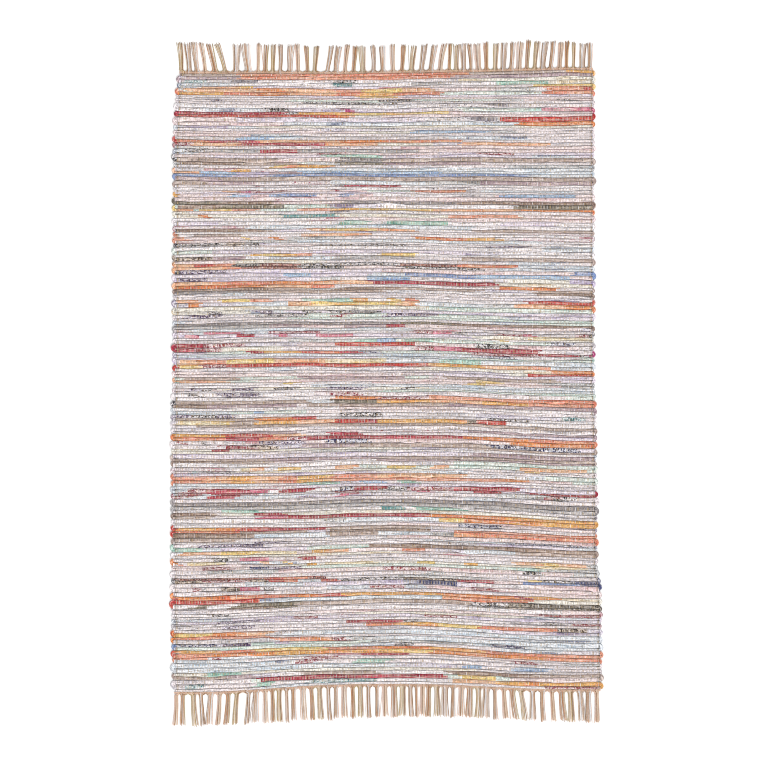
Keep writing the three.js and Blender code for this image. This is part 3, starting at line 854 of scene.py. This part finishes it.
CAP_FACES = 2
MEAN_WIDTH = 1226.0
STATION_STEP = MEAN_WIDTH / RUN_STATIONS
SHAPE_WAVES = 5
SLOW_WAVES = (60, 700)
MARGIN = 0.03  # of the flat layout, on each side
TURN_MARGIN = MARGIN / (TURN_STATIONS + 2)
OUTER_ENDS = 4
GIRTH_SPAN = (0.04, 0.96)


def corners(along, around):
    """What two measures of the rag are at each face's corners, one along it and one round it."""
    first, last = (along[:, 0], along[:, 1]) if along.ndim > 1 else (along[:-1], along[1:])
    lengthwise = np.stack([first, first, last, last], axis=1)[:, None]
    around = np.stack([around[:-1], around[1:], around[1:], around[:-1]], axis=1)
    return [np.broadcast_to(each, (len(first), SIDES, 4)) for each in (lengthwise, around)]


def weft_piece(name, first_pick, last_pick, finish):
    """One half of the weft, a single rag that turns back at each selvedge."""
    path, cloth = rag_path(first_pick, last_pick)
    along = np.arange(len(path)) * STATION_STEP
    slow = ripple(SHAPE_WAVES + len(FOLD_SIDES), along, *SLOW_WAVES)
    rings, hollow = rag_rings(path, slow)
    points, faces = tubes(rings)
    piece = mesh_piece(name, points, faces, finish)
    by_face = np.array([(*dye(*ground), blots, *dye(*printed), marks)
                        for ground, printed, blots, marks in CLOTHS.values()])[cloth]
    showing = EDGE_SHOW * np.clip(slow[SHAPE_WAVES:], 0, 1).T[:-1, :, None]
    for side, share in zip(FOLD_SIDES, np.moveaxis(showing, 1, 0)):
        by_face[:, side, :3] += (by_face[:, side, 4:7] - by_face[:, side, :3]) * share
    by_face = by_face.reshape(-1, 8)
    by_face = np.vstack([by_face, by_face[:1], by_face[-1:]])
    note(piece, "Cloth", "FLOAT_COLOR", "FACE", by_face[:, :4])
    note(piece, "Print", "FLOAT_COLOR", "FACE", by_face[:, 4:])
    note(piece, "Hollow", "FLOAT", "POINT", hollow)

    # where each corner lies on the rag: in warp yarns along it, and round it
    step = np.linalg.norm(np.diff(rings[0], axis=1, append=rings[0][:, :1]), axis=2)
    girth = np.concatenate([np.zeros(1), np.cumsum(step.mean(0))])
    row = np.repeat(np.arange(first_pick, last_pick), RUN_STATIONS + TURN_STATIONS)[: len(path)]
    count = ENDS_A_PICK * row + END_OFFSET + path[:, 4] + row % 2
    lay = np.stack(corners(count, girth), axis=-1).reshape(-1, 2)
    cap_lay = np.tile([count[0], 0.0], (SIDES * CAP_FACES, 1))
    note(piece, "Rag", "FLOAT2", "CORNER", np.vstack([lay, cap_lay]))

    # the same laid out flat, one row for each pick, with its turn in the margin
    across = (path[:, 4] + OUTER_ENDS) / (ENDS - 1 + 2 * OUTER_ENDS)
    spread = MARGIN + (1 - 2 * MARGIN) * np.clip(across, 0, 1)
    station = np.arange(len(path)) % (RUN_STATIONS + TURN_STATIONS)
    outward = np.where(row % 2, -1, 1) * TURN_MARGIN
    spread = spread + outward * np.clip(station - RUN_STATIONS + 1, 0, TURN_STATIONS)
    after = np.where(station[1:] == 0, spread[:-1] + outward[:-1], spread[1:])
    u, v = corners(np.column_stack([spread[:-1], after]), np.linspace(*GIRTH_SPAN, SIDES + 1))
    v = (row[:-1, None, None] - first_pick + v) / (last_pick - first_pick)
    flat = np.vstack([np.stack([u, v], axis=-1).reshape(-1, 2), np.zeros((SIDES * CAP_FACES, 2))])
    note(piece, "OFBake", "FLOAT2", "CORNER", flat)
    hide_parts("woven_field")
    return piece


runs = [pick_run(pick) for pick in range(PICKS)]
coloured = read_ticket()
run_length = np.array([run[-1, 0] - run[0, 0] for run in runs])
run_start = np.cumsum(run_length) - run_length
pale = pale_rags(run_length.sum())
run_cloths = []
for pick, run in enumerate(runs):
    if pick % 2:
        runs[pick] = run = run[::-1]
    distance = run_start[pick] + np.abs((run[:-1, 0] + run[1:, 0]) / 2 - run[0, 0])
    run_cloths.append(dressed(run, coloured[pick], distance, pale))
cotton = rag_finish()
weft = [
    weft_piece("rag_weft_far", 0, PICKS // 2, cotton),
    weft_piece("rag_weft_near", PICKS // 2, PICKS, cotton),
]

# The warp: fine two-ply cotton yarn in ochre, tan and grey, drawn over one pick and under the
# next. Only its short floats show between the rags.

FLOAT_REACH = 0.6  # of a pick's pitch, to where the yarn dips in
FLOAT_FLAT = 0.3  # and to where it starts to dip
YARN_WIDE = 1.25
FLOAT_RIDGE = 0.5
FLOAT_FOOT = -0.45
FLOAT_DEEP = 2.6
WARP_ORDER = ["ochre", "tan", "ochre", "tan", "tan", "grey", "tan"]
WARP_DYES = {
    "ochre": (190, 164, 122),
    "tan": (202, 187, 172),
    "grey": (236, 233, 234),
    "fringe tan": (212, 184, 156),
    "pale tan": (240, 218, 192),
    "rose tan": (226, 192, 170),
    "dark tan": (164, 122, 88),
    "rust": (202, 144, 98),
    "olive": (186, 160, 108),
}
FLOAT_BANDS = 4
FLOAT_LEAN = 0.18
FLOAT_AROUND = (0.0, -0.3, 0.0, 0.3, -0.3, 0.0, 0.3, 0.0)
FLOAT_WIDTHS = (0.9, 1.1)
YARN_SWAY = 0.2
YARN_SHIFT = 0.6
YARN_WIDTHS = (0.7, 1.35)
YARN_TONES = (0.72, 1.12)


def yarn_finish(name, ply_length, paler):
    """Two-ply cotton yarn: its own dye, with the plies' slanting grooves in bump and in painted
    shade.
    """
    recipe = Recipe(name, Roughness=0.85, Sheen_Weight=0.2, Sheen_Roughness=0.5)
    place = recipe.add("TexCoord", {}, {}, "Object")
    along, around = recipe.apart(recipe.read("Lay", "Vector"))
    ply = recipe.maths("SINE", (along / ply_length + around) * (2 * math.pi)) * 0.5 + 0.5
    fuzz = recipe.noise(place, 900.0, 2.0)
    # painted light and shade: the yarn's colour is lighter on each ply and darker in the grooves
    # between them, with a random fuzz
    shade = paler + ply * 0.16 + fuzz * 0.2
    tone = recipe.vector(shade, shade, shade)
    recipe.feed("Base Color", recipe.mixed(1.0, recipe.read("Yarn"), tone, "MULTIPLY"))
    relief = ply * 0.22 + fuzz * 0.1
    recipe.feed("Normal", recipe.add("Bump", {}, {"Distance": MM, "Height": relief}))
    return recipe.material


def float_band(name, first_pick, last_pick, finish):
    """The floats over a stretch of picks: each a small ridged arch tucked in at both ends."""
    places, colours = [], []
    dyes = np.array([dye(*WARP_DYES[yarn]) for yarn in WARP_ORDER])
    for pick in range(first_pick, last_pick):
        end = np.arange(pick % 2, ENDS, 2)
        share = (pick + 0.5) / PICKS
        x = warp_x(end, share) + yarn_shift[end] + YARN_SWAY * np.sin(pick / 9.0 + end)
        far = np.interp(x, RULER, pick_edges[pick])
        near = np.interp(x, RULER, pick_edges[pick + 1])
        high = np.interp(x, RULER, rag_heights[pick])
        places.append(np.column_stack([x, (far + near) / 2, far - near, high, yarn_girth[end]]))
        colours.append(dyes[end % len(WARP_ORDER)] * yarn_tone[end, None])
    x, y, pitch, high, girth = np.concatenate(places).T
    colours = np.concatenate(colours)
    half = YARN_WIDE / 2 * girth * rng.uniform(*FLOAT_WIDTHS, len(x))
    lean = rng.uniform(-FLOAT_LEAN, FLOAT_LEAN, len(x))
    foot, ridge = high + FLOAT_FOOT, high + FLOAT_RIDGE
    deep = np.full(len(x), FLOAT_DEEP)
    far_x, near_x = x + lean, x - lean
    far_y, near_y = y + FLOAT_FLAT * pitch, y - FLOAT_FLAT * pitch
    arch = [
        (far_x, y + FLOAT_REACH * pitch, deep),
        (far_x - half, far_y, foot),
        (far_x, far_y, ridge),
        (far_x + half, far_y, foot),
        (near_x - half, near_y, foot),
        (near_x, near_y, ridge),
        (near_x + half, near_y, foot),
        (near_x, y - FLOAT_REACH * pitch, deep),
    ]
    points = np.stack([np.stack(point, axis=-1) for point in arch], axis=1)
    first = np.arange(len(x))[:, None, None] * len(arch)
    quads = first + np.array([[1, 4, 5, 2], [2, 5, 6, 3]])
    points_of_ends = first + np.array([[0, 1, 2], [0, 2, 3], [7, 5, 4], [7, 6, 5]])
    faces = [quads.reshape(-1, 4), points_of_ends.reshape(-1, 3)]
    piece = mesh_piece(name, points.reshape(-1, 3), faces, finish)
    by_face = np.vstack([np.repeat(colours, 2, axis=0), np.repeat(colours, 4, axis=0)])
    note(piece, "Yarn", "FLOAT_COLOR", "FACE", by_face)
    along = points[..., 1]
    around = np.broadcast_to(FLOAT_AROUND, along.shape)
    note(piece, "Lay", "FLOAT_VECTOR", "POINT", np.stack([along, around, 0 * along], axis=-1))
    return piece


yarn_shift = rng.uniform(-YARN_SHIFT, YARN_SHIFT, ENDS)
yarn_girth = rng.uniform(*YARN_WIDTHS, ENDS)
yarn_tone = rng.uniform(*YARN_TONES, ENDS)
warp_cotton = yarn_finish("Warp yarn", ply_length=2.4, paler=0.82)
band_edges = np.linspace(0, PICKS, FLOAT_BANDS + 1).astype(int)
floats = [
    float_band(f"warp_floats_{band + 1}", band_edges[band], band_edges[band + 1], warp_cotton)
    for band in range(FLOAT_BANDS)
]

# The headers: three shots of the same yarn beaten in at each end to hold the last rag. The warp
# runs on over and under them into the fringe.

HEADER_ROWS = 3
HEADER_WIDTH = 6.0
HEADER_GAP = 0.3
HEADER_SET_BACK = 7.0
HEADER_MIDDLE = 2.0
HEADER_WAVE = 0.62
HEADER_YARN = 1.15
HEADER_SWAY = 0.25
HEADER_WAVES = (30, 200)
ROUND_SIDES = 4
FIRST_SIDE = math.radians(225)
PLY_STARTS = (0, 5)


def yarn_rings(paths, radius):
    """Rings of a round yarn along each of many paths of shape (yarns, stations, 3)."""
    angle = FIRST_SIDE + np.arange(ROUND_SIDES) * 2 * math.pi / ROUND_SIDES
    radius = np.broadcast_to(radius, paths.shape[:2])[..., None]
    return swept(paths, np.cos(angle) * radius, paths[..., 2:] + np.sin(angle) * radius)


def yarn_piece(name, paths, radius, colours, finish):
    """A piece of many loose yarns, each a closed tube of its own dye."""
    rings = yarn_rings(paths, radius)
    points, faces = tubes(rings)
    piece = mesh_piece(name, points, faces, finish)
    yarns, stations = paths.shape[:2]
    walls = np.repeat(colours, (stations - 1) * ROUND_SIDES, axis=0)
    by_face = np.vstack([walls, colours, colours])
    note(piece, "Yarn", "FLOAT_COLOR", "FACE", by_face)
    steps = np.linalg.norm(np.diff(paths, axis=1, prepend=paths[:, :1]), axis=2)
    along = np.cumsum(steps, axis=1) + rng.uniform(*PLY_STARTS, (yarns, 1))
    lay = np.zeros((yarns, stations, ROUND_SIDES, 3))
    lay[..., 0] = along[..., None]
    lay[..., 1] = np.abs(np.arange(ROUND_SIDES) - ROUND_SIDES / 2) / ROUND_SIDES
    note(piece, "Lay", "FLOAT_VECTOR", "POINT", lay)
    return piece


def header(name, share, outward, finish):
    """Three shots of yarn across one end, weaving over and under the warp."""
    left = HEADER_SET_BACK - float(eased(ALONG, LEFT, share))
    right = float(eased(ALONG, RIGHT, share)) - HEADER_SET_BACK
    x = np.linspace(left, right, ENDS + 6)
    paths = np.empty((HEADER_ROWS, len(x), 3))
    for row in range(HEADER_ROWS):
        out = HEADER_GAP + (row + 0.5) * HEADER_WIDTH / HEADER_ROWS
        weave = np.where((np.arange(len(x)) + row) % 2, 1, -1)
        paths[row, :, 0] = x
        paths[row, :, 1] = weft_line(share, x) + outward * out
        paths[row, :, 1] += HEADER_SWAY * ripple(1, x, *HEADER_WAVES)[0]
        paths[row, :, 2] = HEADER_MIDDLE + HEADER_WAVE * weave
    colours = np.array([dye(*WARP_DYES["rose tan"])] * HEADER_ROWS)
    return yarn_piece(name, paths, HEADER_YARN, colours, finish)


fringe_cotton = yarn_finish("Fringe yarn", ply_length=4.2, paler=0.78)
far_header = header("far_header", share=0.0, outward=1, finish=fringe_cotton)
near_header = header("near_header", share=1.0, outward=-1, finish=fringe_cotton)

# The fringe: the cut warp ends, about a dozen to a lock. The locks are drawn together by use and
# washing, with no knots, and lie flat on the floor.

LOCK_FIELDS = ("locks", "first", "last", "lean", "last_lean", "width")
FAR_LOCKS = [
    (3, -598, -552, -5, -10, 14),
    (3, -529, -471, -12, -24, 12),
    (2, -439, -403, 2, -10, 18),
    (4, -375, -311, 2, 1, 10),
    (2, -281, -258, 4, -3, 14),
    (2, -231, -210, -4, 6, 10),
    (4, -174, -97, 12, 6, 12),
    (4, -69, 18, -3, -2, 13),
    (5, 44, 155, 5, 13, 13),
    (4, 181, 245, 3, -6, 11),
    (2, 267, 290, -5, -2, 14),
    (8, 315, 476, 3, 8, 12),
    (3, 502, 543, 5, 1, 10),
    (2, 568, 590, 3, 0, 12),
]
NEAR_LOCKS = [
    (2, -613, -594, -3, -1, 12),
    (2, -563, -542, 6, 6, 13),
    (4, -513, -436, -6, -6, 12),
    (2, -402, -380, -7, -3, 14),
    (5, -354, -272, 2, 2, 11),
    (4, -245, -171, 4, 5, 12),
    (7, -148, -6, 1, 2, 12),
    (2, 20, 45, 2, -1, 16),
    (4, 68, 122, 4, -2, 11),
    (7, 145, 290, 0, -3, 15),
    (4, 315, 389, 3, 13, 13),
    (4, 424, 508, 1, 8, 13),
    (2, 534, 561, 4, 7, 14),
    (2, 587, 610, 1, 2, 15),
]
# the fringe's length at five places across
REACH = np.array([(-610, 86, 93), (-180, 78, 95), (180, 77, 88), (420, 82, 88), (610, 72, 91)])
FAR_REACH, NEAR_REACH = 1, 2
LENGTH_SWAY = (0.035, 2.1)  # at most, and its phase
BEND = (1.6, 0.7)
YARNS_A_LOCK = 12
STRAND = 2
FRINGE_YARN = 0.72
LOCK_STATIONS = np.array([0.0, 0.025, 0.05, 0.12, 0.22, 0.34, 0.47, 0.6, 0.73, 0.87, 1.0])
GATHERED = 0.05
LOCK_SPREAD = 1.42
# How the yarns of a lock lie, and how they come over the header.
LOCK_FILL = 0.88
YARN_ASIDE = 0.06
YARN_LENGTHS = (0.93, 1.015)
YARN_DRIFT = 1.1
YARN_TURNS = (3, 7)
LEAN_CURVE = 1.2
LAYER_FOOT = 0.05
LAYER_RISE = 1.05
LAYER_WAVE = 0.3
LAYER_TURNS = 9
HEADER_LIFT = 1.5
OVER_SHOT = 3.5
UNDER_SHOT = 0.9
TUCK = 2.5
TUCK_HEIGHT = 2.6
SHOTS_AT = (0.3, 0.7)
LOCK_WIDTHS = np.array([(0.0, 1.0), (0.14, 0.78), (0.5, 0.94), (1.0, 1.14)])
WIDTH_SWAY = (0.3, 4.2)
STRAY_EVERY = 4
STRAY_LEAN = (7.0, 1.3)


def sway(number, most, phase):
    """An even, repeatable unevenness of the n-th lock, at most so much."""
    slow, quick = math.sin(2.4 * number + phase), math.sin(5.1 * number + 1.7 * phase)
    return most * (0.6 * slow + 0.4 * quick)


def lock_rows(table):
    """Each lock of a fringe as (root, lean, width)."""
    locks = []
    for row in table:
        group = dict(zip(LOCK_FIELDS, row))
        for place in np.linspace(0, 1, group["locks"]):
            root = group["first"] + (group["last"] - group["first"]) * place
            lean = group["lean"] + (group["last_lean"] - group["lean"]) * place
            locks.append((root, lean, group["width"]))
    return np.array(locks)


def fringe(name, share, outward, table, column, finish):
    """One end's yarns, from the last rag over the header into their locks."""
    locks = lock_rows(table)
    first, last = warp_x(0, share), warp_x(ENDS - 1, share)
    halfway = (locks[1:, 0] + locks[:-1, 0]) / 2
    bounds = np.concatenate([[first], halfway, [last]])
    paths, colours = [], []
    t = LOCK_STATIONS
    gathered = smooth(np.clip(t / GATHERED, 0, 1))
    width_share = np.interp(t, LOCK_WIDTHS[:, 0], LOCK_WIDTHS[:, 1])
    for number, (root, lean, width) in enumerate(locks):
        reach = np.interp(root, REACH[:, 0], REACH[:, column])
        reach *= 1 + sway(number, *LENGTH_SWAY)
        width *= 1 + sway(number, *WIDTH_SWAY)
        strands = FRINGE_STRANDS[(3 * number + table[0][0]) % len(FRINGE_STRANDS)]
        for yarn in range(YARNS_A_LOCK):
            slot = (yarn + 0.5) / YARNS_A_LOCK
            start = bounds[number] + (bounds[number + 1] - bounds[number]) * slot
            aside = (slot - 0.5) * LOCK_FILL + rng.uniform(-YARN_ASIDE, YARN_ASIDE)
            length = reach * rng.uniform(*YARN_LENGTHS)
            drift = rng.uniform(-YARN_DRIFT, YARN_DRIFT) * np.sin(t * rng.uniform(*YARN_TURNS))
            lock_x = root + lean * t**LEAN_CURVE + sway(number, *BEND) * np.sin(math.pi * t)
            lock_x = lock_x + aside * LOCK_SPREAD * width * width_share + drift * t
            if yarn == 0 and number % STRAY_EVERY == 1:
                lock_x = lock_x + sway(number, *STRAY_LEAN) * t
            x = start + (lock_x - start) * gathered
            edge = weft_line(share, np.array([start]))[0]
            y = edge + outward * (HEADER_GAP + HEADER_WIDTH + length * t)
            layer = (yarn + number) % 2
            z = FRINGE_YARN + LAYER_FOOT + HEADER_LIFT * (1 - gathered)
            z = z + layer * (LAYER_RISE + LAYER_WAVE * np.sin(LAYER_TURNS * t + yarn))
            shots = (OVER_SHOT, UNDER_SHOT) if yarn % 2 else (UNDER_SHOT, OVER_SHOT)
            before = [(start, edge - outward * TUCK, TUCK_HEIGHT)]
            for at, high in zip(SHOTS_AT, shots):
                before.append((start, edge + outward * (HEADER_GAP + at * HEADER_WIDTH), high))
            paths.append(np.vstack([before, np.column_stack([x, y, z])]))
            colours.append(dye(*WARP_DYES[strands[yarn // STRAND]]))
    return yarn_piece(name, np.array(paths), FRINGE_YARN, np.array(colours), finish)


FRINGE_STRANDS = [
    ["rust", "fringe tan", "dark tan", "rust", "fringe tan", "olive"],
    ["fringe tan", "dark tan", "grey", "rose tan", "fringe tan", "dark tan"],
    ["rose tan", "rose tan", "dark tan", "pale tan", "rose tan", "fringe tan"],
    ["olive", "fringe tan", "pale tan", "olive", "dark tan", "fringe tan"],
    ["dark tan", "fringe tan", "rust", "fringe tan", "grey", "rose tan"],
]
far_fringe = fringe("far_fringe_yarn", 0.0, 1, FAR_LOCKS, FAR_REACH, fringe_cotton)
near_fringe = fringe("near_fringe_yarn", 1.0, -1, NEAR_LOCKS, NEAR_REACH, fringe_cotton)
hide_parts("far_fringe")
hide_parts("near_fringe")

# The floor, light and camera: a white floor under a wide even sky and one soft lamp, seen from
# straight above.

FLOOR_SIDE = 14.0
FLOOR_DROP = 0.0002
FLOOR_WHITE = (0.9, 0.9, 0.9, 1.0)
SKY_WHITE = (1.0, 1.0, 1.0, 1.0)
SKY_STRENGTH = 0.75
LAMP_STRENGTH = 2.1
LAMP_SPREAD = math.radians(38)
LAMP_TILT = math.radians(42)
LAMP_TURN = math.radians(28)
VIEW_CENTRE = (-0.0087, 0.0007)
VIEW_WIDTH = 2.235
LENS = 85.0
SENSOR = 36.0

bpy.ops.object.select_all(action="DESELECT")
bpy.ops.mesh.primitive_plane_add(size=FLOOR_SIDE, location=(0, 0, -FLOOR_DROP))
floor = bpy.context.object
floor.name = "floor"
floor_finish = Recipe("Floor white", Roughness=0.9, Base_Color=FLOOR_WHITE)
floor.data.materials.append(floor_finish.material)

scene = bpy.context.scene
scene.view_settings.view_transform = "Standard"
scene.cycles.filter_width = 1.0
world = bpy.data.worlds.new("Studio sky")
scene.world = world
world.use_nodes = True
sky = world.node_tree.nodes["Background"].inputs
sky["Color"].default_value = SKY_WHITE
sky["Strength"].default_value = SKY_STRENGTH

lamp_data = bpy.data.lights.new("Soft lamp", "SUN")
lamp_data.energy = LAMP_STRENGTH
lamp_data.angle = LAMP_SPREAD
lamp = bpy.data.objects.new("Soft lamp", lamp_data)
lamp.rotation_euler = (LAMP_TILT, 0.0, LAMP_TURN)
bpy.context.collection.objects.link(lamp)

camera_data = bpy.data.cameras.new("Camera")
camera_data.lens = LENS
camera_data.sensor_width = SENSOR
camera = bpy.data.objects.new("Camera", camera_data)
camera.location = (*VIEW_CENTRE, VIEW_WIDTH * LENS / SENSOR)
bpy.context.collection.objects.link(camera)
scene.camera = camera
